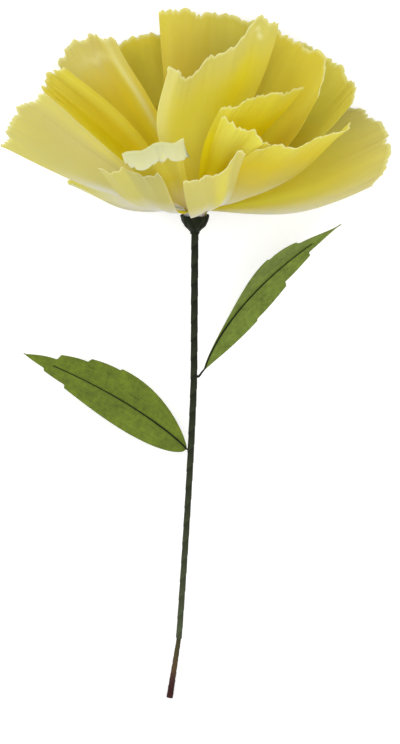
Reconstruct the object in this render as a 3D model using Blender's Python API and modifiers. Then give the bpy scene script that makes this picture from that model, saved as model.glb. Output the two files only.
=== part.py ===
"""Paper flower on a twig stem, lying on its back as it comes to rest.

Metres, +Z up. The flower is modelled about the base of its bloom, with the stem running to -Y and the bloom
opening to +Y and up. An empty then turns and moves all of it so that it lies on the floor at Z = 0.
Every petal and leaf is one sheet: a grid laid on a curved surface, thickened by Solidify.
"""

import math

import bmesh
import bpy
import numpy as np
from mathutils import Matrix, Vector

# Bloom
PETAL_LENGTH = 0.146
PETAL_THICKNESS = 0.0005
BASE_HALF_WIDTH = 0.0032
MOST_BASE_TURN = 40
BASE_BEND = 0.012
BASE_DEPTH = 0.004
FIRST_RING = 0.0022
RING_STEP = 0.0007
BLOOM_HEIGHT = 0.050
OPENING_TILT = 33

# Stem
STEM_LENGTH = 0.342
BARE_LENGTH = 0.042
TWIG_RADIUS = 0.0016
TWIG_END_RADIUS = 0.0023
WRAP_RADIUS = 0.0021
WRAP_TOP_RADIUS = 0.0026
WRAP_CLEARANCE = 0.0002
STEM_STRAIGHT = 0.114
STEM_DRIFT = 0.0094
BARE_LEAN = 0.0063

# Calyx
CALYX_RADIUS = 0.0100
CALYX_DEPTH = 0.0135
CALYX_WALL = 0.0006
CALYX_LIP = 0.002
SEAT_GAP = 0.0003

# Leaves
LEAF_LENGTH = 0.136
LEAF_THICKNESS = 0.0005
LEAF_WIRE_RADIUS = 0.0006
LEAF_RIB_SHARE = 0.83

# place is how far down the stem a leaf is held, stalk how long its bare wire is, share its length as a part of
# LEAF_LENGTH, and heading the way its base points. bow bends its middle line sideways and arch lifts it; roll
# turns the blade about that line, and fold is the slope of its two halves. halves gives each half's greatest
# width, where along the blade that is, as a power (below 1 is nearer the base), and how slim its ends are.
# teeth are the notches in its edge: which side, how far along and how deep.
LEAVES = {
    "leaf_left": dict(place=0.168, stalk=0.0, share=0.98, heading=(-0.863, 0.506, -0.13),
                      bow=0.0065, arch=0.004, roll=4, fold=0.12,
                      halves=((0.0170, 0.68, 0.85), (0.0194, 0.87, 0.95)),
                      teeth=((1, 0.50, 0.0015), (1, 0.67, 0.0028), (1, 0.82, 0.0042), (-1, 0.72, 0.0022),
                             (-1, 0.86, 0.0018))),
    "leaf_right": dict(place=0.1183, stalk=0.0060, share=1.03, heading=(0.684, 0.729, 0.05),
                       bow=-0.0145, arch=0.004, roll=-42, fold=0.26,
                       halves=((0.0185, 1.50, 1.80), (0.0165, 0.74, 1.20)),
                       teeth=((-1, 0.62, 0.0022), (-1, 0.78, 0.0036), (1, 0.36, 0.0012), (1, 0.59, 0.0030),
                              (1, 0.78, 0.0026))),
}

PAPER_DENSITY = 700.0
TWIG_DENSITY = 600.0

# A petal's rim is set by three points: its first corner, its middle and its last corner, going clockwise
# round the bloom. Each is a bearing from +Y towards +X and a rise towards the viewer, in degrees, and a reach
# as a share of PETAL_LENGTH. ring counts the layers from the core outwards, and cup is how far the sheet
# bulges outwards. belly is how much wider than its rim it gets on the way, on its first and last side, and trim
# is how much of its first and last corner is cut off; a corner left longer is a spike. peaks are longer
# stretches of rim: middle, width and height. ridges run lengthwise: where across the sheet each leaves the
# base, where it meets the rim, its width and its height. roll is how far the rim is rolled outwards.
PETALS = {
    "petal_floor_left": dict(rim=((-78, -21, 0.60), (-71, -30, 0.66), (-54, -29, 0.70)), ring=9, cup=0.055,
                             belly=(0.12, 0.12)),
    "petal_floor_back": dict(rim=((-34, -19, 0.95), (-17, -20, 0.92), (3, -19, 0.95)), ring=7, cup=0.03),
    "petal_floor_right": dict(rim=((56, -19, 0.94), (68, -9, 0.97), (81, 11, 0.855)), ring=8, cup=0.04),
    "petal_back_left": dict(rim=((-41, -11, 0.985), (-32, -9, 0.985), (-25, -3, 0.915)), ring=5, cup=0.03,
                            belly=(0.2, 0.15), wave=0.007, ridges=((0.55, 0.75, 0.32, 0.045),), roll=0.03),
    "petal_back_middle": dict(rim=((-9, -9, 0.96), (6, -12, 0.97), (25, -14, 0.99)), ring=6, cup=0.03,
                              belly=(0.05, 0.25), trim=(-0.04, 0.02)),
    "petal_back_right": dict(rim=((28, -9, 0.965), (45, -8, 0.97), (54, 3, 0.93)), ring=5, cup=0.04),
    "petal_side_left": dict(rim=((-52, 20, 0.95), (-61, 5, 0.95), (-72, -8, 0.925)), ring=6, cup=0.035,
                            belly=(0.10, 0.10), wave=0.007, trim=(0.02, -0.03)),
    "petal_inner_left": dict(rim=((-53, -6, 0.87), (-48, -5, 0.93), (-42, 3, 0.945)), ring=3.6, cup=0.03,
                             belly=(0.25, 0.40), ridges=((0.5, 0.66, 0.30, 0.03),)),
    "petal_inner_back": dict(rim=((18, -6, 0.94), (31, -4, 0.935), (45, 11, 0.83)), ring=4, cup=0.04,
                             peaks=((0.55, 0.25, 0.08),)),
    "petal_upright_back": dict(rim=((-12, 35, 0.80), (6, 22, 0.78), (23, 6, 0.97)), ring=2, cup=0.03,
                               belly=(0.55, 0.3), trim=(-0.05, 0.01),
                               peaks=((0.6, 0.30, 0.125), (0.0, 0.25, 0.02), (-0.5, 0.25, -0.05))),
    "petal_upright_right": dict(rim=((11, 46, 0.71), (27, 37, 0.755), (41, 16, 0.82)), ring=0, cup=0.03),
    "petal_heart": dict(rim=((10, 51, 0.69), (30, 50, 0.68), (48, 46, 0.67)), ring=2.0, cup=0.03,
                        belly=(0.1, 0.1), trim=(-0.03, 0.03)),
    "petal_front_right": dict(rim=((59, 17, 0.86), (57, 40, 0.79), (41, 50, 0.62)), ring=6, cup=0.075,
                              trim=(0.0, 0.03)),
    "petal_front_flap": dict(rim=((-10, 55, 0.72), (-30, 52, 0.71), (-49, 45, 0.70)), ring=3, cup=0.04,
                             belly=(-0.4, 0.25), trim=(0.0, 0.04), fold=(0.85, 130)),
    "petal_front_left": dict(rim=((-47, 62, 0.50), (-58, 48, 0.52), (-66, 33, 0.575)), ring=7, cup=0.08),
    "petal_front_tongue": dict(rim=((34, 57.5, 0.68), (17, 69, 0.64), (-25, 75, 0.63)), ring=8, cup=0.09,
                               belly=(-0.4, 0.25), peaks=((0.1, 0.55, -0.13),)),
}
BELLY = (0.25, 0.25)
ROLL_START = 0.80
TRIM = (0.03, 0.03)
WAVE = 0.012
PLEATS = 2.0
FOLD_RADIUS = 0.0014
ROWS = (0.0, 0.03, 0.07, 0.13, 0.25, 0.42, 0.61, 0.78, 0.90, 1.0)
FOLDED_ROWS = (0.0, 0.03, 0.08, 0.16, 0.32, 0.58, 0.87, 0.90, 0.925, 1.0)
COLUMNS = 13

STEM_DIRECTION = Vector((0.0, STEM_LENGTH, BLOOM_HEIGHT - TWIG_END_RADIUS)).normalized()


def unit(v):
    return v / np.maximum(np.linalg.norm(v, axis=-1, keepdims=True), 1e-12)


def rim_point(bearing, rise, reach):
    b, r = math.radians(bearing), math.radians(rise)
    span = reach * PETAL_LENGTH
    level = span * math.cos(r)
    return np.array([level * math.sin(b), level * math.cos(b), span * math.sin(r)])


def around_stem():
    """Three unit vectors: along the stem, to its right, and towards the floor."""
    along = np.array(STEM_DIRECTION)
    right = np.array([1.0, 0.0, 0.0])
    return along, right, np.cross(right, along) * -1.0


def turn_of(vector):
    """Angle round the bloom's opening axis, from the floor side towards the right."""
    tilt = math.radians(OPENING_TILT)
    axis = np.array([0.0, math.cos(tilt), math.sin(tilt)])
    back = np.array([0.0, math.sin(tilt), -math.cos(tilt)])
    side = vector - axis * vector.dot(axis)
    return math.atan2(side[0], side.dot(back))


def sheet(petal, u, v):
    """Points of the petal's middle surface; u runs from base to rim, v from corner to corner."""
    first, middle, last = (rim_point(*p) for p in petal["rim"])
    u = np.asarray(u, float)[..., None]
    v = np.asarray(v, float)[..., None]
    along, right, back = around_stem()
    ring = FIRST_RING + RING_STEP * petal["ring"]
    half_turn = min(BASE_HALF_WIDTH / ring, math.radians(MOST_BASE_TURN))
    turn = turn_of(middle) + half_turn * v
    base = ring * (np.sin(turn) * right + np.cos(turn) * back) - BASE_DEPTH * along
    length = float(np.linalg.norm(middle)) + BASE_DEPTH
    bend = BASE_BEND / length
    x = np.minimum(u / bend, 1.0)
    grown = bend * (x**3 - x**4 / 2) + np.maximum(u - bend, 0.0)
    straight = bend * (x - x**3 + x**4 / 2)
    total = 1.0 - bend / 2
    rim = middle + v * (last - first) / 2 + v**2 * ((last + first) / 2 - middle)
    low, high = petal.get("belly", BELLY)
    belly = (high + low) / 2 + v * (high - low) / 2
    spread = np.maximum(grown / total, 0.0) ** 0.8 * (1 + belly * np.sin(math.pi * np.minimum(u, 1.0)))
    return base + straight * length * along + (grown / total) * middle + spread * (rim - middle)


def inner_normal(petal, u, v):
    step = 1e-3
    du = sheet(petal, u + step, v) - sheet(petal, u - step, v)
    dv = sheet(petal, u, v + step) - sheet(petal, u, v - step)
    return unit(np.cross(dv, du))


def rim_cut(petal, v, seed):
    """How far out the sheet is cut at v: its corners, its peaks and shallow, uneven scallops."""
    first, last = petal.get("trim", TRIM)
    corner = np.where(v < 0, first, last) * np.abs(v) ** 4
    teeth = 0.009 * np.sin(9.0 * v + seed) + 0.006 * np.sin(17.0 * v + 2.3 * seed)
    cut = 1.0 - corner + teeth
    for at, width, height in petal.get("peaks", ()):
        cut = cut + height * np.exp(-((v - at) / width) ** 2)
    return cut


def pleated(petal, seed, u, v):
    """The sheet with its bulge, pleats, ridges and rolled rim. All but the bulge fade towards the base."""
    share = np.clip(u, 0, 1)
    lift = -petal["cup"] * np.sin(math.pi * share) ** 1.6
    pleat = np.cos(math.pi * (petal.get("pleats", PLEATS) * v + seed))
    lift = lift + petal.get("wave", WAVE) * share**1.3 * pleat
    for at_base, at_rim, width, height in petal.get("ridges", ()):
        off = (v - at_base - (at_rim - at_base) * share) / width
        lift = lift + height * share**1.3 * np.exp(-off**2)
    lift = lift - petal.get("roll", 0.0) * np.clip((share - ROLL_START) / (1 - ROLL_START), 0, 1) ** 2
    return sheet(petal, u, v) + inner_normal(petal, u, v) * (lift * PETAL_LENGTH)[..., None]


def petal_points(petal, seed, u, v):
    """The finished surface: cut to its rim and, where the petal has a fold, turned down outwards past it."""
    u, v = np.asarray(u, float), np.asarray(v, float)
    reach = u * rim_cut(petal, v, seed)
    if "fold" not in petal:
        return pleated(petal, seed, reach, v)
    start, angle = petal["fold"]
    step = 1e-3
    hinge = np.minimum(reach, start)
    points = pleated(petal, seed, hinge, v)
    onward = unit(points - pleated(petal, seed, hinge - step, v))
    across = unit(pleated(petal, seed, hinge, v + step) - pleated(petal, seed, hinge, v - step))
    outward = np.cross(onward, across)
    past = (reach - hinge) * petal["rim"][1][2] * PETAL_LENGTH
    turned = np.minimum(past / FOLD_RADIUS, math.radians(angle))
    rest = past - turned * FOLD_RADIUS
    ahead = np.sin(turned) * FOLD_RADIUS + rest * np.cos(turned)
    away = (1 - np.cos(turned)) * FOLD_RADIUS + rest * np.sin(turned)
    return points + onward * ahead[..., None] + outward * away[..., None]


def paper(name, colour, roughness):
    material = bpy.data.materials.new(name)
    material.use_nodes = True
    shader = material.node_tree.nodes["Principled BSDF"]
    shader.inputs["Base Color"].default_value = (*colour, 1.0)
    shader.inputs["Roughness"].default_value = roughness
    shader.inputs["Metallic"].default_value = 0.0
    return material


def add_object(name, data, colour, roughness, collection, parent):
    item = bpy.data.objects.new(name, data)
    item.data.materials.append(paper(name + "_look", colour, roughness))
    item.parent = parent
    collection.objects.link(item)
    return item


def grid_sheet(name, place, rows, columns, thickness, colour, collection, parent):
    """A thickened sheet: a grid whose corners are laid on the surface given by place(u, v)."""
    bm = bmesh.new()
    bmesh.ops.create_grid(bm, x_segments=columns, y_segments=len(rows) - 1, size=1.0)
    bm.verts.ensure_lookup_table()
    flat = np.array([vert.co[:] for vert in bm.verts])
    row = np.rint((flat[:, 1] + 1) / 2 * (len(rows) - 1)).astype(int)
    points = place(np.array(rows)[row], flat[:, 0])
    for vert, point in zip(bm.verts, points):
        vert.co = point
    mesh = bpy.data.meshes.new(name)
    bm.to_mesh(mesh)
    bm.free()
    mesh.shade_smooth()
    item = add_object(name, mesh, colour, 0.75, collection, parent)
    solid = item.modifiers.new("Paper", "SOLIDIFY")
    solid.thickness = thickness
    solid.offset = 0.0
    return item


def tube(name, points, radii, sides, colour, roughness, collection, parent):
    """A round bar with filled ends along the points."""
    curve = bpy.data.curves.new(name, "CURVE")
    curve.dimensions = "3D"
    curve.bevel_depth = 1.0
    curve.bevel_resolution = sides
    curve.use_fill_caps = True
    spline = curve.splines.new("POLY")
    spline.points.add(len(points) - 1)
    for target, point, radius in zip(spline.points, points, radii):
        target.co = (*point, 1.0)
        target.radius = radius
    return add_object(name, curve, colour, roughness, collection, parent)


def as_mesh(item):
    """The same object as a mesh with welded ends, so that it can be cut."""
    graph = bpy.context.evaluated_depsgraph_get()
    mesh = bpy.data.meshes.new_from_object(item.evaluated_get(graph))
    bm = bmesh.new()
    bm.from_mesh(mesh)
    bmesh.ops.remove_doubles(bm, verts=bm.verts, dist=1e-6)
    bm.to_mesh(mesh)
    bm.free()
    name = item.name
    home, parent, place = item.users_collection[0], item.parent, item.matrix_world.copy()
    bpy.data.objects.remove(item)
    made = bpy.data.objects.new(name, mesh)
    made.parent = parent
    made.matrix_world = place
    home.objects.link(made)
    return made


def stem_point(distance):
    """Middle of the stem at a distance below the bloom's base, measured along Y."""
    bend = STEM_LENGTH - BARE_LENGTH
    share = max(min(distance, bend) - STEM_STRAIGHT, 0.0) / (bend - STEM_STRAIGHT)
    x = -STEM_DRIFT * share**1.3
    if distance > bend:
        x -= BARE_LEAN * (distance - bend) / BARE_LENGTH
    return Vector((x, -distance, -distance * STEM_DIRECTION.z / STEM_DIRECTION.y))


def wrap_radius(distance):
    share = distance / (STEM_LENGTH - BARE_LENGTH)
    return WRAP_TOP_RADIUS + (WRAP_RADIUS - WRAP_TOP_RADIUS) * share


def build_stem(collection, guides, parent):
    bend = STEM_LENGTH - BARE_LENGTH
    count = 22
    top = BASE_DEPTH + SEAT_GAP
    stations = [top + (bend - top) * i / count for i in range(count + 1)]
    bare = [bend + BARE_LENGTH * i / 4 for i in range(1, 5)]
    radii = [TWIG_RADIUS] * len(stations)
    radii += [TWIG_RADIUS + (TWIG_END_RADIUS - TWIG_RADIUS) * i / 4 for i in range(1, 5)]
    tube("stem_twig", [stem_point(d) for d in stations + bare], radii, 2, (0.10, 0.045, 0.03), 0.7,
         collection, parent)

    wrap_top = CALYX_DEPTH - 0.002
    stations = [wrap_top + (bend - wrap_top) * i / count for i in range(count + 1)]
    outer = tube("stem_wrap", [stem_point(d) for d in stations], [wrap_radius(d) for d in stations], 2,
                 (0.02, 0.03, 0.012), 0.6, collection, parent)
    path = [stem_point(d) for d in stations]
    over = 0.004
    path = [path[0] + STEM_DIRECTION * over] + path + [path[-1] + (path[-1] - path[-2]).normalized() * over]
    bore = tube("stem_bore", path, [TWIG_RADIUS + WRAP_CLEARANCE] * len(path), 2, (0.5, 0.5, 0.5), 0.5,
                guides, parent)
    bpy.context.view_layer.update()
    outer, bore = as_mesh(outer), as_mesh(bore)
    bore.hide_render = True
    bore.display_type = "WIRE"
    cut = outer.modifiers.new("Bore", "BOOLEAN")
    cut.operation = "DIFFERENCE"
    cut.solver = "EXACT"
    cut.object = bore
    return outer


def build_calyx(collection, parent):
    """A turned cup of wrapped paper: the outer side as a profile, screwed round and thickened inwards."""
    inner = WRAP_TOP_RADIUS + SEAT_GAP + CALYX_WALL
    outline = ((CALYX_RADIUS, -CALYX_LIP), (CALYX_RADIUS * 0.985, -CALYX_DEPTH * 0.25),
               (CALYX_RADIUS * 0.90, -CALYX_DEPTH * 0.5), (CALYX_RADIUS * 0.70, -CALYX_DEPTH * 0.75),
               (CALYX_RADIUS * 0.45, -CALYX_DEPTH * 0.93),
               (inner, -CALYX_DEPTH * 1.02), (inner, -CALYX_DEPTH * 1.15))
    mesh = bpy.data.meshes.new("calyx")
    mesh.from_pydata([(x, 0.0, z) for x, z in outline], [(i, i + 1) for i in range(len(outline) - 1)], [])
    item = add_object("calyx", mesh, (0.02, 0.03, 0.012), 0.65, collection, parent)
    item.rotation_euler = Vector((0, 0, 1)).rotation_difference(STEM_DIRECTION).to_euler()
    turn = item.modifiers.new("Turn", "SCREW")
    turn.axis = "Z"
    turn.steps = 20
    turn.render_steps = 20
    turn.use_merge_vertices = True
    turn.merge_threshold = 0.00001
    shell = item.modifiers.new("Wall", "SOLIDIFY")
    shell.thickness = CALYX_WALL
    shell.offset = -1.0
    return item


def leaf_half_width(leaf, u, v):
    """Half the blade's width at u on the side that v is on, with its teeth cut in past each tooth's tip."""
    u, v = np.asarray(u, float), np.asarray(v, float)
    first, last = (most * np.sin(math.pi * np.clip(u, 0, 1) ** lean) ** slim
                   for most, lean, slim in leaf["halves"])
    full = np.where(v < 0, first, last)
    for side, at, depth in leaf["teeth"]:
        past = (u - at) / 0.10
        cut = np.where((past > 0) & (v * side > 0), np.exp(-past) * np.clip(past * 12, 0, 1), 0.0)
        full = full - depth * cut
    return np.maximum(full, 0.0) + 0.0004


def leaf_points(leaf, u, v):
    u, v = np.asarray(u, float), np.asarray(v, float)
    along, side, up = leaf["frame"]
    share = np.clip(u, 0, 1) ** 0.85
    arc = 4 * share * (1 - share)
    width = leaf_half_width(leaf, u, v) * v
    raised = leaf["arch"] * arc + np.abs(width) * leaf["fold"]
    middle = np.array(leaf["base"]) + (u * LEAF_LENGTH * leaf["share"])[..., None] * along
    middle = middle + (leaf["bow"] * arc)[..., None] * leaf["lean"]
    return middle + raised[..., None] * up + width[..., None] * side


def leaf_plan(leaf):
    """Adds to a leaf its foot on the stem, the blade's base and its three directions."""
    foot = np.array(stem_point(leaf["place"]))
    along = unit(np.array(leaf["heading"], float))
    lean = unit(np.cross(along, np.array([0.0, 0.0, 1.0])))
    up = unit(np.cross(lean, along))
    turn = math.radians(leaf["roll"])
    side = lean * math.cos(turn) + up * math.sin(turn)
    raised = up * math.cos(turn) - lean * math.sin(turn)
    level = unit(np.array([along[0], along[1], 0.0]))
    clear = wrap_radius(leaf["place"]) + SEAT_GAP + LEAF_WIRE_RADIUS * abs(level[1])
    start = foot + level * clear / abs(level[0])
    return dict(leaf, start=start, base=start + along * leaf["stalk"], frame=(along, side, raised), lean=lean)


def make_leaf(name, collection, parent):
    """A blade, and the wire rib that lies on it and holds it to the stem."""
    leaf = leaf_plan(LEAVES[name])
    rows = [0.0, 0.05, 0.13, 0.23, 0.35, 0.46, 0.94, 1.0]
    for side, at, depth in leaf["teeth"]:
        rows += [at, at + 0.01]
    grid_sheet(name, lambda u, v: leaf_points(leaf, u, v), sorted(rows), 4, LEAF_THICKNESS,
               (0.14, 0.20, 0.03), collection, parent)
    lift = leaf["frame"][2] * (LEAF_THICKNESS / 2 + SEAT_GAP + LEAF_WIRE_RADIUS)
    shares = [LEAF_RIB_SHARE * i / 12 for i in range(0 if leaf["stalk"] else 1, 13)]
    wire = [leaf["start"] + lift] + [leaf_points(leaf, np.array(t), np.array(0.0)) + lift for t in shares]
    radii = [LEAF_WIRE_RADIUS] + [LEAF_WIRE_RADIUS * (1 - 0.5 * t) for t in shares]
    tube(name + "_rib", [Vector(p) for p in wire], radii, 1, (0.03, 0.035, 0.012), 0.6, collection, parent)


def lying_matrix(items):
    """The turn and move that lay the flower on the face of its hull that lies under its centre of mass."""
    bpy.context.view_layer.update()
    graph = bpy.context.evaluated_depsgraph_get()
    points = []
    moment, mass = Vector(), 0.0
    for item in items:
        shape = item.evaluated_get(graph)
        mesh = shape.to_mesh()
        place = item.matrix_world
        bm = bmesh.new()
        bm.from_mesh(mesh)
        density = TWIG_DENSITY if item.name.startswith("stem") else PAPER_DENSITY
        weight = abs(bm.calc_volume()) * density
        area = sum(f.calc_area() for f in bm.faces)
        middle = sum((f.calc_center_median() * f.calc_area() for f in bm.faces), Vector()) / area
        moment += place @ middle * weight
        mass += weight
        points += [place @ v.co for v in bm.verts]
        bm.free()
        shape.to_mesh_clear()
    centre = moment / mass
    hull = bmesh.new()
    for point in points:
        hull.verts.new(point)
    bmesh.ops.convex_hull(hull, input=hull.verts)
    best, turn = -1.0, Matrix()
    for face in hull.faces:
        normal = face.normal.copy()
        if normal.z > -0.5:
            continue
        corners = [v.co for v in face.verts]
        foot = centre + normal * normal.dot(corners[0] - centre)
        inside = min((b - a).cross(foot - a).dot(normal) / max((b - a).length, 1e-9)
                     for a, b in zip(corners, corners[1:] + corners[:1]))
        if inside > best:
            best, turn = inside, normal.rotation_difference(Vector((0, 0, -1))).to_matrix().to_4x4()
    hull.free()
    laid = np.array([(turn @ p)[:] for p in points])
    low, high = laid.min(axis=0), laid.max(axis=0)
    move = Vector((-(low[0] + high[0]) / 2, -(low[1] + high[1]) / 2, -low[2]))
    return Matrix.Translation(move) @ turn


def main():
    for item in list(bpy.data.objects):
        bpy.data.objects.remove(item, do_unlink=True)
    flower = bpy.data.collections.new("paper_flower")
    guides = bpy.data.collections.new("guides")
    bpy.context.scene.collection.children.link(flower)
    bpy.context.scene.collection.children.link(guides)
    pose = bpy.data.objects.new("lying_pose", None)
    flower.objects.link(pose)

    for number, (name, petal) in enumerate(PETALS.items()):
        rows = FOLDED_ROWS if "fold" in petal else ROWS
        grid_sheet(name, lambda u, v, p=petal, s=number * 1.7: petal_points(p, s, u, v), rows, COLUMNS,
                   PETAL_THICKNESS, (0.72, 0.60, 0.10), flower, pose)
    build_stem(flower, guides, pose)
    build_calyx(flower, pose)
    for name in LEAVES:
        make_leaf(name, flower, pose)

    items = [item for item in flower.objects if item.type != "EMPTY"]
    pose.matrix_world = lying_matrix(items)
    bpy.context.view_layer.update()


main()
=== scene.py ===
"""A yellow paper flower on a taped twig with two leaves, lying on a pale floor and seen from above."""

import math

import bmesh
import bpy
import numpy as np
from mathutils import Euler, Matrix, Vector


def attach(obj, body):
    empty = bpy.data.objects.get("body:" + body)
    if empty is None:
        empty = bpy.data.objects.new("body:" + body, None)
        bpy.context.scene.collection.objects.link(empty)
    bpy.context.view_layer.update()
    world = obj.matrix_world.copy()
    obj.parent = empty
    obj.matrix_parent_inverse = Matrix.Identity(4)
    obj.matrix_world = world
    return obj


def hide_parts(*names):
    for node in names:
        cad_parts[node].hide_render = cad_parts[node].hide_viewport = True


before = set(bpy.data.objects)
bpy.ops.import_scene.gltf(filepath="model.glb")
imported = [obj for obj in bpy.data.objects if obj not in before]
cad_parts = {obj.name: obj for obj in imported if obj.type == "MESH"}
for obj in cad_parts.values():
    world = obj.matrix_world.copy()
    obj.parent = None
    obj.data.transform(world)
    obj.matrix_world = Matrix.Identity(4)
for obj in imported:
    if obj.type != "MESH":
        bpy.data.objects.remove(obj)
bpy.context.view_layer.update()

# The flower is laid out about the base of its bloom, stem to -Y, and then laid on its back.
LYING_PLACE = (-0.0004419, 0.0989082, 0.0536756)
LYING = Matrix.Translation(LYING_PLACE) @ Euler((0.013047, 0.044693, 0.000292)).to_matrix().to_4x4()

# Sizes of the real pieces, as in the solids, in metres.
PETAL_LENGTH = 0.146
BASE_HALF_WIDTH = 0.0032
MOST_BASE_TURN = math.radians(40)
BASE_BEND = 0.012
BASE_DEPTH = 0.004
FIRST_RING = 0.0022
RING_STEP = 0.0007
BLOOM_HEIGHT = 0.050
OPENING_TILT = math.radians(33)
PAPER = 0.00030

# A petal's frills and buckles are shares of its length; the teeth of its cut rim are in metres.
FRILL = 0.0035
BUCKLE = 0.0018
RIM_TEETH = 80
TOOTH_LENGTH = (0.0035, 0.0085)
TOOTH_DEPTH = (0.0007, 0.0024)
# Faces along and across a petal, and across one whose reach is below SMALL_REACH.
PETAL_GRID = (90, 144)
SMALL_PETAL_GRID = (64, 100)
SMALL_REACH = 0.7

STEM_LENGTH = 0.342
BARE_LENGTH = 0.042
TWIG_RADIUS = 0.0016
TWIG_END_RADIUS = 0.0023
WRAP_RADIUS = 0.0021
WRAP_TOP_RADIUS = 0.0026
STEM_STRAIGHT = 0.114
STEM_DRIFT = 0.0094
BARE_LEAN = 0.0063
STEM_DIRECTION = Vector((0.0, STEM_LENGTH, BLOOM_HEIGHT - TWIG_END_RADIUS)).normalized()

CALYX_RADIUS = 0.0100
CALYX_DEPTH = 0.0135
CALYX_LIP = 0.002
CALYX_WALL = 0.0006
CALYX_FOLDS = 9
CALYX_SIDES = 72
SEAT_GAP = 0.0003

TAPE_PITCH = 0.013
TAPE_STEP = 0.00024
TAPE_RINGS = 700
TAPE_SIDES = 28
TWIG_SIDES = 24
SHARP_EDGE = math.radians(60)

LEAF_LENGTH = 0.136
LEAF_WIRE_RADIUS = 0.0006
LEAF_RIB_SHARE = 0.83
LEAF_GRID = (150, 36)
LEAF_TOOTH_FADE = 0.10
LEAF_EDGE = 0.0004
LEAF_CREASE = 4e-7
RIB_SIDES = 10

# The picture: metres of flower in a pixel, its height in pixels, and its middle from the base of the bloom.
PIXEL = 0.0007
PICTURE_HEIGHT = 744
PICTURE_MIDDLE = (5, -160)
CAMERA_DISTANCE = 8.0
WORLD_LIGHT = 0.68
FLOOR_GREY = 0.93
FLOOR_GLOW = 0.34
# Each lamp's place, width and watts.
LAMPS = {
    "window": ((-1.1, 0.9, 1.7), 1.8, 12.0),
    "fill": ((0.2, -0.2, 2.3), 1.4, 15.0),
}


def paint(red, green, blue):
    """A colour as it looks on a screen, from 0 to 255, turned to the linear values that a shader takes."""
    share = np.array([red, green, blue]) / 255
    return tuple(np.where(share <= 0.04045, share / 12.92, ((share + 0.055) / 1.055) ** 2.4))


# Paper colours.
GOLD = paint(250, 217, 16)
DEEP_GOLD = paint(250, 214, 8)
ORANGE_GOLD = paint(254, 210, 60)
WARM_GOLD = paint(220, 186, 50)
AMBER = paint(214, 186, 44)
YELLOW = paint(218, 202, 80)
LEMON = paint(232, 216, 88)
PALE_LEMON = paint(246, 230, 92)
STRAW = paint(196, 187, 110)
OLIVE_GOLD = paint(196, 178, 74)
DULL_GOLD = paint(200, 178, 58)
CREAM = paint(238, 232, 176)
PALE_CREAM = paint(255, 249, 168)
BLEACHED = paint(232, 228, 214)
BEIGE = paint(204, 194, 136)
# This grey straw also serves as painted shade where TINTS marks it.
GREY_STRAW = paint(184, 172, 104)

# A petal's rim is its first corner, middle and last corner, clockwise: bearing, rise and reach. ring is how
# far out it is glued on, cup how far it bulges, and wave how deep its pleats are. belly widens the sheet on
# its two sides, trim cuts its corners, peaks lengthen its rim, ridges run lengthwise, roll turns the rim
# back, and fold gives how far up the sheet is turned down and through how many degrees.
PETALS = {
    "petal_floor_left": dict(rim=((-78, -21, 0.60), (-71, -30, 0.66), (-54, -29, 0.70)), ring=9, cup=0.055,
                             belly=(0.12, 0.12)),
    "petal_floor_back": dict(rim=((-34, -19, 0.95), (-17, -20, 0.92), (3, -19, 0.95)), ring=7, cup=0.03),
    "petal_floor_right": dict(rim=((56, -19, 0.94), (68, -9, 0.97), (81, 11, 0.855)), ring=8, cup=0.04),
    "petal_back_left": dict(rim=((-41, -11, 0.985), (-32, -9, 0.985), (-25, -3, 0.915)), ring=5, cup=0.03,
                            belly=(0.2, 0.15), wave=0.007, ridges=((0.55, 0.75, 0.32, 0.045),), roll=0.03),
    "petal_back_middle": dict(rim=((-9, -9, 0.96), (6, -12, 0.97), (25, -14, 0.99)), ring=6, cup=0.03,
                              belly=(0.05, 0.25), trim=(-0.04, 0.02)),
    "petal_back_right": dict(rim=((28, -9, 0.965), (45, -8, 0.97), (54, 3, 0.93)), ring=5, cup=0.04),
    "petal_side_left": dict(rim=((-52, 20, 0.95), (-61, 5, 0.95), (-72, -8, 0.925)), ring=6, cup=0.035,
                            belly=(0.10, 0.10), wave=0.007, trim=(0.02, -0.03)),
    "petal_inner_left": dict(rim=((-53, -6, 0.87), (-48, -5, 0.93), (-42, 3, 0.945)), ring=3.6, cup=0.03,
                             belly=(0.25, 0.40), ridges=((0.5, 0.66, 0.30, 0.03),)),
    "petal_inner_back": dict(rim=((18, -6, 0.94), (31, -4, 0.935), (45, 11, 0.83)), ring=4, cup=0.04,
                             peaks=((0.55, 0.25, 0.08),)),
    "petal_upright_back": dict(rim=((-12, 35, 0.80), (6, 22, 0.78), (23, 6, 0.97)), ring=2, cup=0.03,
                               belly=(0.55, 0.3), trim=(-0.05, 0.01),
                               peaks=((0.6, 0.30, 0.125), (0.0, 0.25, 0.02), (-0.5, 0.25, -0.05))),
    "petal_upright_right": dict(rim=((11, 46, 0.71), (27, 37, 0.755), (41, 16, 0.82)), ring=0, cup=0.03),
    "petal_heart": dict(rim=((10, 51, 0.69), (30, 50, 0.68), (48, 46, 0.67)), ring=2.0, cup=0.03,
                        belly=(0.1, 0.1), trim=(-0.03, 0.03)),
    "petal_front_right": dict(rim=((59, 17, 0.86), (57, 40, 0.79), (41, 50, 0.62)), ring=6, cup=0.075,
                              trim=(0.0, 0.03)),
    "petal_front_flap": dict(rim=((-10, 55, 0.72), (-30, 52, 0.71), (-49, 45, 0.70)), ring=3, cup=0.04,
                             belly=(-0.4, 0.25), trim=(0.0, 0.04), fold=(0.85, 130)),
    "petal_front_left": dict(rim=((-47, 62, 0.50), (-58, 48, 0.52), (-66, 33, 0.575)), ring=7, cup=0.08),
    "petal_front_tongue": dict(rim=((34, 57.5, 0.68), (17, 69, 0.64), (-25, 75, 0.63)), ring=8, cup=0.09,
                               belly=(-0.4, 0.25), peaks=((0.1, 0.55, -0.13),)),
}
BELLY = (0.25, 0.25)
ROLL_START = 0.80
TRIM = (0.03, 0.03)
WAVE = 0.012
PLEATS = 2.0
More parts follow.
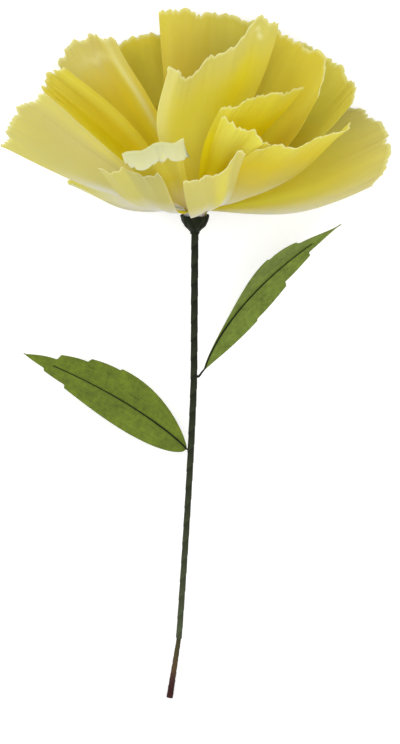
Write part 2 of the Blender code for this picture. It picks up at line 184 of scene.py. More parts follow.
# A fold's directions are taken over steps wide enough that the frills don't turn them.
FOLD_RADIUS = 0.0014
FOLD_STEP_UP = 0.05
FOLD_STEP_ACROSS = 0.12

# The colours of a petal's inner and outer side from base to rim, and the washes brushed over both: how far up
# the sheet, how far across, how long, how wide, the colour and its strength.
# Part of these tints is painted light: the saturated golds at the bases are partly painted shade, the warm
# gold
# Washes that are painted highlights or painted shade are marked below.
# of the cup's shadowed depths, and petals lying in shade carry duller golds and olives as painted shade.
TINTS = {
    "petal_floor_left": dict(face=(BLEACHED, BLEACHED, BLEACHED, CREAM, YELLOW),
                             back=(BLEACHED, BLEACHED, STRAW)),
    "petal_floor_back": dict(face=(ORANGE_GOLD, ORANGE_GOLD, WARM_GOLD), back=(BLEACHED, BEIGE, STRAW)),
    # The darker olive and grey colours toward the rim of this petal's inner side are painted shade.
    "petal_floor_right": dict(face=(AMBER, AMBER, OLIVE_GOLD, GREY_STRAW), back=(BLEACHED, BLEACHED, STRAW),
                              washes=((0.45, 1.05, 0.5, 0.3, BLEACHED, 1.0),
                                      (0.3, 0.5, 0.35, 0.16, LEMON, 0.7))),
    "petal_back_left": dict(face=(GOLD, GOLD, AMBER, GREY_STRAW), back=(BLEACHED, BEIGE, STRAW),
                            # The yellow and cream washes along the ridge are a painted highlight on its
                            # crest.
                            washes=((0.7, 0.70, 0.45, 0.26, YELLOW, 0.7),
                                    (0.75, 0.74, 0.3, 0.10, CREAM, 0.5),
                                    (0.95, 0.0, 0.14, 0.8, GREY_STRAW, 0.7),
                                    (0.88, 0.1, 0.03, 0.6, CREAM, 0.3))),
    # The dull golds and olive wash of this petal are painted shade, for where it lies at the back.
    "petal_back_middle": dict(face=(GOLD, AMBER, DULL_GOLD, OLIVE_GOLD), back=(BLEACHED, BEIGE, STRAW),
                              washes=((0.75, -0.86, 0.28, 0.14, YELLOW, 0.55),
                                      (0.8, 0.1, 0.3, 0.6, OLIVE_GOLD, 0.4))),
    "petal_back_right": dict(face=(GOLD, ORANGE_GOLD, ORANGE_GOLD, YELLOW, OLIVE_GOLD),
                             back=(BLEACHED, BEIGE, STRAW)),
    "petal_side_left": dict(face=(GOLD, YELLOW, STRAW), back=(BLEACHED, STRAW, STRAW, STRAW),
                            # The lemon wash is a painted highlight along the upper edge, and the darker grey
                            # one beside it is painted shade in a crease.
                            washes=((0.6, -0.82, 0.5, 0.12, LEMON, 0.35),
                                    (0.65, -0.5, 0.5, 0.07, GREY_STRAW, 0.7),
                                    (0.85, -0.2, 0.25, 1.0, GREY_STRAW, 0.75),
                                    (0.42, 1.0, 0.2, 0.22, BLEACHED, 0.8))),
    "petal_inner_left": dict(face=(DEEP_GOLD, GOLD, AMBER, OLIVE_GOLD), back=(BLEACHED, BEIGE, STRAW),
                             # The lemon wash is a painted highlight on the ridge, and the deep gold one is
                             # painted shade in the channel beside it.
                             washes=((0.65, 0.8, 0.5, 0.22, LEMON, 0.7),
                                     (0.5, -0.2, 0.4, 0.3, DEEP_GOLD, 0.8))),
    "petal_inner_back": dict(face=(DEEP_GOLD, GOLD, AMBER, DULL_GOLD), back=(BLEACHED, BEIGE, STRAW),
                             washes=((0.85, 0.9, 0.3, 0.2, YELLOW, 0.6),)),
    "petal_upright_back": dict(face=(LEMON, LEMON, LEMON, YELLOW, STRAW), back=(BLEACHED, BEIGE, STRAW),
                               washes=((0.6, 0.45, 0.2, 0.35, GOLD, 0.8),
                                       (0.6, -0.95, 0.4, 0.2, CREAM, 0.5),
                                       (0.35, -0.3, 0.25, 0.6, PALE_LEMON, 0.8),
                                       (0.92, 0.5, 0.12, 0.5, STRAW, 0.6),
                                       # These two small cream dots are painted highlights on crumples at the
                                       # top corner.
                                       (0.9, 0.74, 0.02, 0.05, CREAM, 0.7),
                                       (0.93, 0.66, 0.012, 0.06, CREAM, 0.6))),
    "petal_upright_right": dict(face=(GOLD, GOLD, GOLD, YELLOW), back=(BLEACHED, BEIGE, STRAW)),
    "petal_heart": dict(face=(GOLD, GOLD, PALE_LEMON), back=(GOLD, GOLD, PALE_LEMON, PALE_LEMON),
                        washes=((0.85, 0.0, 0.2, 1.2, PALE_LEMON, 0.6),)),
    "petal_front_right": dict(face=(GOLD, YELLOW, YELLOW),
                              back=(BLEACHED, BLEACHED, BEIGE, OLIVE_GOLD, AMBER, YELLOW),
                              washes=((0.25, 0.6, 0.25, 0.5, BEIGE, 0.6),)),
    "petal_front_flap": dict(face=(GOLD, YELLOW, PALE_CREAM), back=(BLEACHED, YELLOW, STRAW)),
    "petal_front_left": dict(face=(GOLD, YELLOW, STRAW), back=(BLEACHED, BLEACHED, STRAW, STRAW)),
    "petal_front_tongue": dict(face=(GOLD, YELLOW, CREAM), back=(BLEACHED, BLEACHED, STRAW, STRAW),
                               washes=((0.75, -0.2, 0.35, 0.3, LEMON, 0.8),)),
}

# place is how far down the stem a leaf is held, stalk how long its bare wire is, share its length as a part
# of LEAF_LENGTH, and heading the way its base points. bow bends its middle line sideways and arch lifts it;
# roll turns the blade about that line, and fold is the slope of its two halves. halves gives each half's
# greatest width, where along the blade that is, and how slim its ends are. teeth give the notches' side,
# place and depth.
LEAVES = {
    "leaf_left": dict(place=0.168, stalk=0.0, share=0.98, heading=(-0.863, 0.506, -0.13),
                      bow=0.0065, arch=0.004, roll=4, fold=0.12, green=paint(110, 126, 34),
                      halves=((0.0170, 0.68, 0.85), (0.0194, 0.87, 0.95)),
                      teeth=((1, 0.50, 0.0015), (1, 0.67, 0.0028), (1, 0.82, 0.0042), (-1, 0.72, 0.0022),
                             (-1, 0.86, 0.0018))),
    "leaf_right": dict(place=0.1183, stalk=0.0060, share=1.03, heading=(0.684, 0.729, 0.05),
                       bow=-0.0145, arch=0.004, roll=-42, fold=0.26, green=paint(124, 142, 56),
                       halves=((0.0185, 1.50, 1.80), (0.0165, 0.74, 1.20)),
                       teeth=((-1, 0.62, 0.0022), (-1, 0.78, 0.0036), (1, 0.36, 0.0012), (1, 0.59, 0.0030),
                              (1, 0.78, 0.0026))),
}


class Value:
    """A shader socket that adds, subtracts, multiplies and takes powers like a number."""

    def __init__(self, tree, socket):
        self.tree = tree
        self.socket = socket

    def worked(self, operation, first, second=None):
        node = self.tree.nodes.new("ShaderNodeMath")
        node.operation = operation
        for slot, value in zip(node.inputs, (first, second)):
            if isinstance(value, Value):
                self.tree.links.new(value.socket, slot)
            elif value is not None:
                slot.default_value = value
        return Value(self.tree, node.outputs[0])

    def __add__(self, other):
        return self.worked("ADD", self, other)

    def __radd__(self, other):
        return self.worked("ADD", other, self)

    def __sub__(self, other):
        return self.worked("SUBTRACT", self, other)

    def __rsub__(self, other):
        return self.worked("SUBTRACT", other, self)

    def __mul__(self, other):
        return self.worked("MULTIPLY", self, other)

    def __rmul__(self, other):
        return self.worked("MULTIPLY", other, self)

    def __pow__(self, other):
        return self.worked("POWER", self, other)


class Finish:
    """One material: its constant sockets, and any other node through add()."""

    def __init__(self, name, **constants):
        self.material = bpy.data.materials.new(name)
        self.material.use_nodes = True
        self.tree = self.material.node_tree
        self.shader = self.tree.nodes["Principled BSDF"]
        for socket, value in constants.items():
            self.shader.inputs[socket.replace("_", " ")].default_value = value

    def add(self, kind, settings, values, output=0):
        node = self.tree.nodes.new("ShaderNode" + kind)
        for setting, value in settings.items():
            if setting == "stops":
                ramp = node.color_ramp
                while len(ramp.elements) < len(value):
                    ramp.elements.new(0.5)
                for element, (position, colour) in zip(ramp.elements, value):
                    element.position = position
                    element.color = (*colour, 1.0)
            else:
                setattr(node, setting, value)
        for socket, value in values.items():
            if isinstance(value, Value):
                self.tree.links.new(value.socket, node.inputs[socket])
            else:
                node.inputs[socket].default_value = value
        return Value(self.tree, node.outputs[output])

    def blend(self, share, first, second, way="MIX"):
        first = (*first, 1.0) if isinstance(first, tuple) else first
        second = (*second, 1.0) if isinstance(second, tuple) else second
        return self.add("Mix", {"data_type": "RGBA", "blend_type": way},
                        {0: share, 6: first, 7: second}, output=2)

    def feed(self, socket, value):
        self.tree.links.new(value.socket, self.shader.inputs[socket])

    def relief(self, height, distance, strength):
        self.feed("Normal", self.add("Bump", {},
                                     {"Height": height, "Distance": distance, "Strength": strength}))


def petal_paper(name, tint):
    """Crepe paper: the colour brushed on each petal, painted shade and highlights included, fine lengthwise
    fibres and faint clouding.
    """
    look = Finish(name, Specular_IOR_Level=0.2, Subsurface_Weight=0.85, Subsurface_Scale=0.003,
                  Subsurface_Radius=(1.0, 0.85, 0.35))
    colour = look.add("Attribute", {"attribute_name": tint}, {})
    cut = look.add("TexCoord", {}, {}, output=2)
    lengthwise = look.add("Mapping", {}, {"Vector": cut, "Scale": (150, 9, 1)})
    fibre = look.add("TexNoise", {}, {"Vector": lengthwise, "Scale": 1.0, "Detail": 5.0, "Roughness": 0.6})
    place = look.add("TexCoord", {}, {}, output=3)
    cloud = look.add("TexNoise", {}, {"Vector": place, "Scale": 70.0, "Detail": 6.0, "Roughness": 0.65})
    grain = look.add("TexNoise", {}, {"Vector": place, "Scale": 1900.0, "Detail": 3.0})
    shade = 0.93 + fibre * 0.08 + cloud * 0.06
    grey = look.add("CombineColor", {}, {0: shade, 1: shade, 2: shade})
    look.feed("Base Color", look.blend(1.0, colour, grey, "MULTIPLY"))
    look.feed("Roughness", 0.55 + cloud * 0.25)
    look.relief(fibre * 0.8 + grain * 0.2, 0.0003, 0.35)
    return look.material


def leaf_paper(name, green):
    """Green paper with pulp fibres and darker clouds."""
    look = Finish(name, Specular_IOR_Level=0.2, Subsurface_Weight=0.08, Subsurface_Scale=0.002,
                  Subsurface_Radius=(0.6, 1.0, 0.2))
    place = look.add("TexCoord", {}, {}, output=3)
    cloud = look.add("TexNoise", {}, {"Vector": place, "Scale": 90.0, "Detail": 6.0, "Roughness": 0.7})
    fleck = look.add("TexNoise", {}, {"Vector": place, "Scale": 330.0, "Detail": 4.0, "Roughness": 0.7})
    cut = look.add("TexCoord", {}, {}, output=2)
    lengthwise = look.add("Mapping", {}, {"Vector": cut, "Scale": (40, 7, 1)})
    fibre = look.add("TexNoise", {}, {"Vector": lengthwise, "Scale": 1.0, "Detail": 5.0, "Distortion": 0.4})
    shade = (cloud - 0.5) * 1.3 + (fleck - 0.5) * 1.1 + (fibre - 0.5) * 0.7 + 0.5
    dark = tuple(c * 0.42 for c in green)
    light = tuple(min(c * 1.15, 1) for c in green)
    look.feed("Base Color", look.blend(shade, dark, light))
    look.feed("Roughness", 0.5 + fleck * 0.2)
    look.relief(fleck * 0.6 + fibre * 0.4, 0.0004, 0.5)
    return look.material


def wound_tape(name, dark, light, turns, faded=None):
    """Waxed paper tape whose turns show as a change of shade at each seam. faded is its colour lower down."""
    look = Finish(name, Specular_IOR_Level=0.12)
    wind = look.add("Attribute", {"attribute_name": turns}, {}, output=2)
    place = look.add("TexCoord", {}, {}, output=3)
    cloud = look.add("TexNoise", {}, {"Vector": place, "Scale": 150.0, "Detail": 5.0, "Roughness": 0.6})
    crinkle = look.add("TexNoise", {}, {"Vector": place, "Scale": 900.0, "Detail": 4.0})
    if faded:
        down = look.add("Attribute", {"attribute_name": "down"}, {}, output=2)
        light = look.blend(down ** 3, light, faded)
        dark = look.blend(down ** 3, dark, tuple(c * 0.5 for c in faded))
    look.feed("Base Color", look.blend(wind * 0.6 + cloud * 0.5 - 0.1, dark, light))
    look.feed("Roughness", 0.45 + cloud * 0.25)
    look.relief(crinkle, 0.0003, 0.6)
    return look.material


def bark(name):
    """Thin bark, olive at the tape and dark red-brown at the cut end, with lengthwise lines."""
    look = Finish(name, Specular_IOR_Level=0.15)
    down = look.add("Attribute", {"attribute_name": "down"}, {}, output=2)
    place = look.add("TexCoord", {}, {}, output=3)
    grained = look.add("Mapping", {}, {"Vector": place, "Scale": (1600, 90, 1600)})
    line = look.add("TexNoise", {}, {"Vector": grained, "Scale": 1.0, "Detail": 4.0})
    blotch = look.add("TexNoise", {}, {"Vector": place, "Scale": 260.0, "Detail": 4.0})
    tone = look.add("ValToRGB", {"stops": ((0.0, paint(64, 62, 36)), (0.25, paint(76, 68, 40)),
                                           (0.5, paint(90, 70, 46)), (0.68, paint(70, 44, 38)),
                                           (0.85, paint(54, 24, 24)), (1.0, paint(64, 34, 30)))},
                    {0: down + blotch * 0.12 - 0.06})
    shade = 0.6 + line * 0.45 + blotch * 0.25
    grey = look.add("CombineColor", {}, {0: shade, 1: shade, 2: shade})
    look.feed("Base Color", look.blend(1.0, tone, grey, "MULTIPLY"))
    look.feed("Roughness", 0.45 + blotch * 0.3)
    look.relief(line, 0.0003, 0.7)
    return look.material


def unit(v):
    return v / np.maximum(np.linalg.norm(v, axis=-1, keepdims=True), 1e-12)


def laid(points):
    """Points of the layout, turned and moved to where the flower lies."""
    turn = np.array(LYING.to_3x3())
    return np.asarray(points) @ turn.T + np.array(LYING.translation)


def rim_point(bearing, rise, reach):
    """A point of a petal's rim from its bearing round the bloom, its rise and its reach from the base."""
    b, r = math.radians(bearing), math.radians(rise)
    level = reach * PETAL_LENGTH * math.cos(r)
    return np.array([level * math.sin(b), level * math.cos(b), reach * PETAL_LENGTH * math.sin(r)])


def turn_of(vector):
    """The angle round the bloom's axis that a vector points in."""
    axis = np.array([0.0, math.cos(OPENING_TILT), math.sin(OPENING_TILT)])
    back = np.array([0.0, math.sin(OPENING_TILT), -math.cos(OPENING_TILT)])
    side = vector - axis * vector.dot(axis)
    return math.atan2(side[0], side.dot(back))


def sheet(petal, u, v):
    """The petal's middle surface before its pleats; u runs from base to rim, v from corner to corner."""
    first, middle, last = (rim_point(*p) for p in petal["rim"])
    u = np.asarray(u, float)[..., None]
    v = np.asarray(v, float)[..., None]
    along = np.array(STEM_DIRECTION)
    right = np.array([1.0, 0.0, 0.0])
    back = np.cross(along, right)
    ring = FIRST_RING + RING_STEP * petal["ring"]
    turn = turn_of(middle) + min(BASE_HALF_WIDTH / ring, MOST_BASE_TURN) * v
    base = ring * (np.sin(turn) * right + np.cos(turn) * back) - BASE_DEPTH * along
    length = float(np.linalg.norm(middle)) + BASE_DEPTH
    bend = BASE_BEND / length
    x = np.minimum(u / bend, 1.0)
    grown = bend * (x**3 - x**4 / 2) + np.maximum(u - bend, 0.0)
    straight = bend * (x - x**3 + x**4 / 2)
    total = 1.0 - bend / 2
    rim = middle + v * (last - first) / 2 + v**2 * ((last + first) / 2 - middle)
    low, high = petal.get("belly", BELLY)
    belly = (high + low) / 2 + v * (high - low) / 2
    spread = np.maximum(grown / total, 0.0) ** 0.8 * (1 + belly * np.sin(math.pi * np.minimum(u, 1.0)))
    return base + straight * length * along + (grown / total) * middle + spread * (rim - middle)


def inner_normal(petal, u, v):
    """The direction out of the sheet on its inner side."""
    step = 1e-3
    du = sheet(petal, u + step, v) - sheet(petal, u - step, v)
    dv = sheet(petal, u, v + step) - sheet(petal, u, v - step)
    return unit(np.cross(dv, du))


def rim_cut(petal, v, seed):
    """How far out the sheet is cut at v: its corners, its peaks and shallow, uneven scallops."""
    first, last = petal.get("trim", TRIM)
    corner = np.where(v < 0, first, last) * np.abs(v) ** 4
    cut = 1.0 - corner + 0.009 * np.sin(9.0 * v + seed) + 0.006 * np.sin(17.0 * v + 2.3 * seed)
    for at, width, height in petal.get("peaks", ()):
        cut = cut + height * np.exp(-((v - at) / width) ** 2)
    return cut


def tooth_depth(v, width, seed):
    """How deep the pinked rim is cut in at v, in metres: uneven teeth, each with its own slope."""
    pick = np.random.default_rng(int(seed * 10) + 5)
    ends = np.cumsum(pick.uniform(*TOOTH_LENGTH, RIM_TEETH))
    starts = np.concatenate([[0.0], ends[:-1]])
    depths = pick.uniform(*TOOTH_DEPTH, RIM_TEETH)
    tips = pick.uniform(0.15, 0.85, RIM_TEETH)
    along = (v + 1) / 2 * width
    tooth = np.clip(np.searchsorted(ends, along), 0, RIM_TEETH - 1)
    share = (along - starts[tooth]) / (ends - starts)[tooth]
    tip = tips[tooth]
    height = np.where(share < tip, share / tip, (1 - share) / (1 - tip))
    return depths[tooth] * (1 - height**1.2)


def pleated(petal, seed, u, v):
    """The sheet with its bulge, pleats, ridges, rolled rim, small frills and buckles, flatter to the base."""
    share = np.clip(u, 0, 1)
    lift = -petal["cup"] * np.sin(math.pi * share) ** 1.6
    pleat = np.cos(math.pi * (PLEATS * v + seed))
    lift = lift + petal.get("wave", WAVE) * share**1.3 * pleat
    for at_base, at_rim, width, height in petal.get("ridges", ()):
        off = (v - at_base - (at_rim - at_base) * share) / width
        lift = lift + height * share**1.3 * np.exp(-off**2)
    lift = lift - petal.get("roll", 0.0) * np.clip((share - ROLL_START) / (1 - ROLL_START), 0, 1) ** 2
    frill = (np.sin(11.0 * v + 3.1 * seed) + 0.7 * np.sin(23.0 * v + 1.7 * seed)
             + 0.4 * np.sin(41.0 * v + seed))
    lift = lift + FRILL * share**7 * frill
    buckle = np.sin(7.0 * v + 9.0 * share + seed) * np.sin(5.0 * v - 11.0 * share + 2 * seed)
    lift = lift + BUCKLE * share * buckle
    return sheet(petal, u, v) + inner_normal(petal, u, v) * (lift * PETAL_LENGTH)[..., None]


def petal_points(petal, seed, u, v):
    """The finished surface: cut to its toothed rim and, where the petal has a fold, turned down past it."""
    u, v = np.asarray(u, float), np.asarray(v, float)
    corners = [rim_point(*p) for p in petal["rim"]]
    width = sum(float(np.linalg.norm(b - a)) for a, b in zip(corners, corners[1:]))
    span = petal["rim"][1][2] * PETAL_LENGTH
    reach = u * rim_cut(petal, v, seed) - u**12 * tooth_depth(v, width, seed) / span
    if "fold" not in petal:
        return pleated(petal, seed, reach, v)
    start, angle = petal["fold"]
    hinge = np.minimum(reach, start)
    points = pleated(petal, seed, hinge, v)
    onward = unit(sheet(petal, hinge, v) - sheet(petal, hinge - FOLD_STEP_UP, v))
    across = unit(pleated(petal, seed, hinge, v + FOLD_STEP_ACROSS)
                  - pleated(petal, seed, hinge, v - FOLD_STEP_ACROSS))
    outward = np.cross(onward, across)
    past = (reach - hinge) * span
    turned = np.minimum(past / FOLD_RADIUS, math.radians(angle))
    rest = past - turned * FOLD_RADIUS
    ahead = np.sin(turned) * FOLD_RADIUS + rest * np.cos(turned)
    away = (1 - np.cos(turned)) * FOLD_RADIUS + rest * np.sin(turned)
    return points + onward * ahead[..., None] + outward * away[..., None]


def brushed(colours, washes, u, v):
    """Colours from base to rim with the washes over them and a paler edge: a painted highlight along the cut
    rim.
    """
    stops = np.linspace(0, 1, len(colours))
    layer = np.stack([np.interp(u, stops, [c[i] for c in colours]) for i in range(3)], axis=-1)
    for up, across, length, width, colour, strength in washes:
        share = strength * np.exp(-((u - up) / length) ** 2 - ((v - across) / width) ** 2)
        layer = layer + (np.array(colour) - layer) * share[..., None]
    # The cream at the very rim is a painted highlight along the cut edge.
    edge = np.clip((u - 0.975) / 0.025, 0, 1) * 0.55
    layer = layer + (np.array(CREAM) - layer) * edge[..., None]
    return np.column_stack([layer, np.ones_like(u)])


def put_in_place(mesh, node):
    """The mesh in the scene, riding on the flower and shown instead of the solid's node."""
    item = bpy.data.objects.new("fine_" + node, mesh)
    bpy.context.scene.collection.objects.link(item)
    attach(item, "root")
    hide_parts(node)
    return item


def cut_sheet(node, place, grid, finishes, tints):
    """One cut sheet: a flat grid laid on a curved surface, then given the paper's thickness."""
    rows, columns = grid
    bm = bmesh.new()
    bm.loops.layers.uv.new("cut")
    bmesh.ops.create_grid(bm, x_segments=columns, y_segments=rows, size=1.0, calc_uvs=True)
    mesh = bpy.data.meshes.new("fine_" + node)
    bm.to_mesh(mesh)
    bm.free()
    flat = np.empty(len(mesh.vertices) * 3, np.float32)
    mesh.vertices.foreach_get("co", flat)
    flat = flat.reshape(-1, 3).astype(float)
    u, v = (flat[:, 1] + 1) / 2, flat[:, 0]
    mesh.vertices.foreach_set("co", laid(place(u, v)).astype(np.float32).ravel())
    for layer, colours in tints(u, v).items():
        brush = mesh.attributes.new(layer, "FLOAT_COLOR", "POINT")
        brush.data.foreach_set("color", colours.astype(np.float32).ravel())
    mesh.shade_smooth()
    for finish in finishes:
        mesh.materials.append(finish)
    wall = put_in_place(mesh, node).modifiers.new("Paper", "SOLIDIFY")
    wall.thickness = PAPER
    wall.offset = 0.0
    wall.material_offset = len(finishes) - 1


def stem_point(distance):
    """A point of the stem's middle line, that far down from the base of the bloom."""
    bend = STEM_LENGTH - BARE_LENGTH
    share = max(min(distance, bend) - STEM_STRAIGHT, 0.0) / (bend - STEM_STRAIGHT)
    x = -STEM_DRIFT * share**1.3
    if distance > bend:
        x -= BARE_LEAN * (distance - bend) / BARE_LENGTH
    return Vector((x, -distance, -distance * STEM_DIRECTION.z / STEM_DIRECTION.y))


def wrap_radius(distance):
    share = distance / (STEM_LENGTH - BARE_LENGTH)
    return WRAP_TOP_RADIUS + (WRAP_RADIUS - WRAP_TOP_RADIUS) * share


def ringed(node, path, side, up, radius, sides, finish, layers, capped=True):
    """A piece drawn out ring by ring along the path, with flat ends or its last ring joined to its first.

    radius(i, angles) shapes each ring, side and up point across it, and each layer marks its points with a
    number.
    """
    bm = bmesh.new()
    for layer in layers:
        bm.verts.layers.float.new(layer)
    marks = {layer: bm.verts.layers.float[layer] for layer in layers}
    ring = bmesh.ops.create_circle(bm, cap_ends=False, radius=1.0, segments=sides)["verts"]
    first = edges = list({edge for vert in ring for edge in vert.link_edges})
    angle = np.arange(sides) * 2 * math.pi / sides
    for number, centre in enumerate(path):
        if number:
            drawn = bmesh.ops.extrude_edge_only(bm, edges=edges)["geom"]
            ring = [vert for vert in drawn if isinstance(vert, bmesh.types.BMVert)]
            edges = [edge for edge in drawn if isinstance(edge, bmesh.types.BMEdge)
                     and all(vert in ring for vert in edge.verts)]
        size = radius(number, angle) * np.ones(sides)
        for k, vert in enumerate(ring):
            out = side[number] * math.cos(angle[k]) + up[number] * math.sin(angle[k])
            vert.co = centre + out * size[k]
            for layer, mark in marks.items():
                vert[mark] = layers[layer](number, angle[k])
    if capped:
        bmesh.ops.contextual_create(bm, geom=first)
        bmesh.ops.contextual_create(bm, geom=edges)
    else:
        bmesh.ops.bridge_loops(bm, edges=first + edges)
    bmesh.ops.recalc_face_normals(bm, faces=bm.faces)
    mesh = bpy.data.meshes.new("fine_" + node)
    bm.to_mesh(mesh)
    bm.free()
    place = np.empty(len(mesh.vertices) * 3, np.float32)
    mesh.vertices.foreach_get("co", place)
    mesh.vertices.foreach_set("co", laid(place.reshape(-1, 3)).astype(np.float32).ravel())
    mesh.shade_smooth()
    if capped:
        mesh.set_sharp_from_angle(angle=SHARP_EDGE)
    mesh.materials.append(finish)
    put_in_place(mesh, node)


def lofted(node, path, radius, sides, finish, layers):
    """A round bar along a path."""
    path = np.array([p[:] for p in path])
    direction = unit(np.gradient(path, axis=0))
    side = unit(np.cross(direction, np.array([0.0, 0.0, 1.0])))
    ringed(node, path, side, np.cross(side, direction), radius, sides, finish, layers)


def make_petals():
    inside = petal_paper("crepe_inside", "inside")
    outside = petal_paper("crepe_outside", "outside")
    for number, (name, petal) in enumerate(PETALS.items()):
        small = petal["rim"][1][2] < SMALL_REACH
        tint = TINTS[name]
        washes = tint.get("washes", ())
        cut_sheet(name, lambda u, v: petal_points(petal, number * 1.7, u, v),
                  SMALL_PETAL_GRID if small else PETAL_GRID, (inside, outside),
                  lambda u, v: {"inside": brushed(tint["face"], washes, u, v),
                                "outside": brushed(tint["back"], washes, u, v)})


def leaf_half_width(leaf, u, v):
    """Half the blade's width at u on the side that v is on, with its teeth cut in past each tooth's tip."""
    first, last = (most * np.sin(math.pi * np.clip(u, 0, 1) ** lean) ** slim
                   for most, lean, slim in leaf["halves"])
    full = np.where(v < 0, first, last)
    for side, at, depth in leaf["teeth"]:
        past = (u - at) / LEAF_TOOTH_FADE
        cut = np.where((past > 0) & (v * side > 0), np.exp(-past) * np.clip(past * 12, 0, 1), 0.0)
        full = full - depth * cut
    return np.maximum(full, 0.0) + LEAF_EDGE


def leaf_points(leaf, u, v):
    """The blade's surface, folded softly along its middle; u runs from base to tip, v from edge to edge."""
    u, v = np.asarray(u, float), np.asarray(v, float)
    along, side, up = leaf["frame"]
    share = np.clip(u, 0, 1) ** 0.85
    arc = 4 * share * (1 - share)
    width = leaf_half_width(leaf, u, v) * v
    raised = leaf["arch"] * arc + np.sqrt(width**2 + LEAF_CREASE) * leaf["fold"]
    middle = (np.array(leaf["base"]) + (u * LEAF_LENGTH * leaf["share"])[..., None] * along
              + (leaf["bow"] * arc)[..., None] * leaf["lean"])
    return middle + raised[..., None] * up + width[..., None] * side


def leaf_plan(leaf):
    """Adds to a leaf where its wire starts on the stem, the blade's base and its three directions."""
    foot = np.array(stem_point(leaf["place"]))
    along = unit(np.array(leaf["heading"], float))
    lean = unit(np.cross(along, np.array([0.0, 0.0, 1.0])))
    up = unit(np.cross(lean, along))
    turn = math.radians(leaf["roll"])
    side = lean * math.cos(turn) + up * math.sin(turn)
    raised = up * math.cos(turn) - lean * math.sin(turn)
    level = unit(np.array([along[0], along[1], 0.0]))
    clear = wrap_radius(leaf["place"]) + SEAT_GAP + LEAF_WIRE_RADIUS * abs(level[1])
    start = foot + level * clear / abs(level[0])
    return dict(leaf, root=start - level * (SEAT_GAP + LEAF_WIRE_RADIUS / 2), start=start,
                base=start + along * leaf["stalk"], frame=(along, side, raised), lean=lean)


def make_leaves():
    wire = wound_tape("rib_tape", paint(14, 18, 6), paint(36, 42, 18), "wind")
    for name, leaf in LEAVES.items():
        leaf = leaf_plan(leaf)
        cut_sheet(name, lambda u, v: leaf_points(leaf, u, v), LEAF_GRID,
                  (leaf_paper(name + "_paper", leaf["green"]),), lambda u, v: {})
        lift = leaf["frame"][2] * (PAPER / 2 + LEAF_WIRE_RADIUS)
        shares = np.linspace(0.01 if leaf["stalk"] else 0.03, LEAF_RIB_SHARE, 60)
        line = np.vstack([[leaf["root"], leaf["start"] + lift], leaf_points(leaf, shares, shares * 0) + lift])
        held = [1.7, 1.4] if leaf["stalk"] else [1.2, 1.0]
        thick = np.concatenate([held, 1 - 0.65 * shares]) * LEAF_WIRE_RADIUS
        lofted(name + "_rib", line, lambda i, a: thick[i], RIB_SIDES, wire, {"wind": lambda i, a: 0.5})


def make_stem():
    """The tape's turns round the twig, and the twig with its rough bark below them."""
    bend = STEM_LENGTH - BARE_LENGTH
    wrap_top = CALYX_DEPTH - 0.002
    distances = np.linspace(wrap_top, bend, TAPE_RINGS)

    def wind(number, angle):
        return (distances[number] / TAPE_PITCH + angle / (2 * math.pi)) % 1.0

    def tape_radius(number, angle):
        ease = np.minimum(1.0, (distances[number] - wrap_top) / 0.01) * 0.5 + 0.5
        return wrap_radius(distances[number]) + TAPE_STEP * (wind(number, angle) * ease - 0.5)

    tape = wound_tape("stem_tape", paint(12, 16, 6), paint(48, 54, 34), "wind", paint(86, 94, 66))
    lofted("stem_wrap", [stem_point(d) for d in distances], tape_radius, TAPE_SIDES, tape,
           {"wind": wind, "down": lambda i, a: distances[i] / bend})

    top = BASE_DEPTH + SEAT_GAP
    stations = np.concatenate([np.linspace(top, bend, 24), np.linspace(bend + 0.0005, STEM_LENGTH, 120)])
    bare = np.maximum((stations - bend) / BARE_LENGTH, 0.0)

    def twig_radius(number, angle):
        down = bare[number]
        plain = TWIG_RADIUS + (TWIG_END_RADIUS - TWIG_RADIUS) * down
        rough = 0.00005 * np.sin(3 * angle + 40 * down) + 0.00004 * np.sin(5 * angle - 90 * down)
        rough = rough + 0.00005 * np.sin(55 * down)
        return plain + rough * min(1.0, down * 8) * (1.0 if down < 0.97 else 0.4)

    lofted("stem_twig", [stem_point(d) for d in stations], twig_radius, TWIG_SIDES, bark("twig_bark"),
           {"down": lambda i, a: bare[i]})


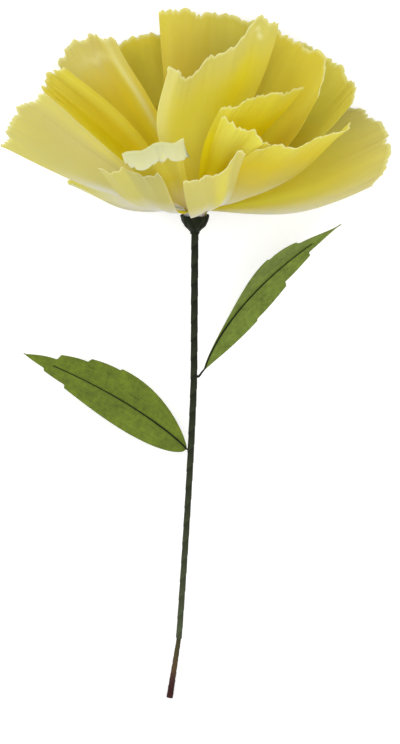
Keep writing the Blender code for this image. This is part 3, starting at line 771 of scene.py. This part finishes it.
def make_calyx():
    """The cup: rings from its rim down to the stem, folded where the tape gathers, and a wall inside."""
    outline = np.array([(CALYX_RADIUS * 0.94, -CALYX_LIP), (CALYX_RADIUS, -CALYX_LIP),
                        (CALYX_RADIUS * 0.985, -CALYX_DEPTH * 0.25),
                        (CALYX_RADIUS * 0.90, -CALYX_DEPTH * 0.5),
                        (CALYX_RADIUS * 0.70, -CALYX_DEPTH * 0.75),
                        (CALYX_RADIUS * 0.45, -CALYX_DEPTH * 0.93),
                        (WRAP_TOP_RADIUS + 0.0009, -CALYX_DEPTH * 1.02),
                        (WRAP_TOP_RADIUS + 0.0005, -CALYX_DEPTH * 1.15)])
    last = len(outline) - 1
    steps = np.concatenate([[0, 0.5], np.linspace(1, last, 48)])
    across = np.interp(steps, range(last + 1), outline[:, 0])
    along = np.interp(steps, range(last + 1), outline[:, 1])
    inner = np.column_stack([across[::-1] - CALYX_WALL, along[::-1]])[:-2]
    profile = np.vstack([np.column_stack([across, along]), inner])

    def cup_radius(number, angle):
        out, deep = profile[number]
        fold = 0.00035 * np.sin(CALYX_FOLDS * angle + 500 * deep) + 0.0002 * np.sin(23 * angle)
        return out + fold * np.clip((out - 0.0035) / 0.004, 0, 1)

    side = np.tile([1.0, 0.0, 0.0], (len(profile), 1))
    ringed("calyx", np.outer(profile[:, 1], STEM_DIRECTION), side, np.cross(side, STEM_DIRECTION), cup_radius,
           CALYX_SIDES, wound_tape("cup_tape", paint(10, 14, 4), paint(40, 46, 22), "wind"),
           {"wind": lambda i, a: (a * CALYX_FOLDS / (2 * math.pi) + i * 0.03) % 1.0}, capped=False)


def make_floor():
    """A pale floor that the camera sees as nearly white, while the flower still shades it."""
    bm = bmesh.new()
    bmesh.ops.create_grid(bm, x_segments=8, y_segments=8, size=3.0)
    mesh = bpy.data.meshes.new("floor")
    bm.to_mesh(mesh)
    bm.free()
    floor = bpy.data.objects.new("floor", mesh)
    bpy.context.scene.collection.objects.link(floor)
    look = Finish("pale_floor", Roughness=0.9, Specular_IOR_Level=0.1,
                  Base_Color=(FLOOR_GREY, FLOOR_GREY, FLOOR_GREY, 1.0), Emission_Color=(1.0, 1.0, 1.0, 1.0))
    camera, glossy, clear = (look.add("LightPath", {}, {}, output=f"Is {ray} Ray")
                             for ray in ("Camera", "Glossy", "Transmission"))
    look.feed("Emission Strength", (camera + glossy + clear) * FLOOR_GLOW)
    mesh.materials.append(look.material)


def light_and_camera():
    scene = bpy.context.scene
    world = bpy.data.worlds.new("studio")
    scene.world = world
    world.use_nodes = True
    sky = world.node_tree.nodes["Background"]
    sky.inputs["Color"].default_value = (1.0, 1.0, 1.0, 1.0)
    sky.inputs["Strength"].default_value = WORLD_LIGHT

    for name, (spot, size, power) in LAMPS.items():
        lamp = bpy.data.lights.new(name, "AREA")
        lamp.size = size
        lamp.energy = power
        item = bpy.data.objects.new(name, lamp)
        item.location = spot
        item.rotation_euler = (Vector((0, 0, 0.05)) - Vector(spot)).to_track_quat("-Z", "Y").to_euler()
        scene.collection.objects.link(item)

    lens = bpy.data.cameras.new("camera")
    lens.lens = lens.sensor_width * CAMERA_DISTANCE / (PICTURE_HEIGHT * PIXEL)
    camera = bpy.data.objects.new("camera", lens)
    right, up = PICTURE_MIDDLE
    camera.location = Vector(LYING_PLACE) + Vector((right * PIXEL, up * PIXEL, CAMERA_DISTANCE))
    lens.clip_end = 50.0
    scene.collection.objects.link(camera)
    scene.camera = camera
    scene.view_settings.view_transform = "Standard"


make_petals()
make_stem()
make_calyx()
make_leaves()
make_floor()
light_and_camera()
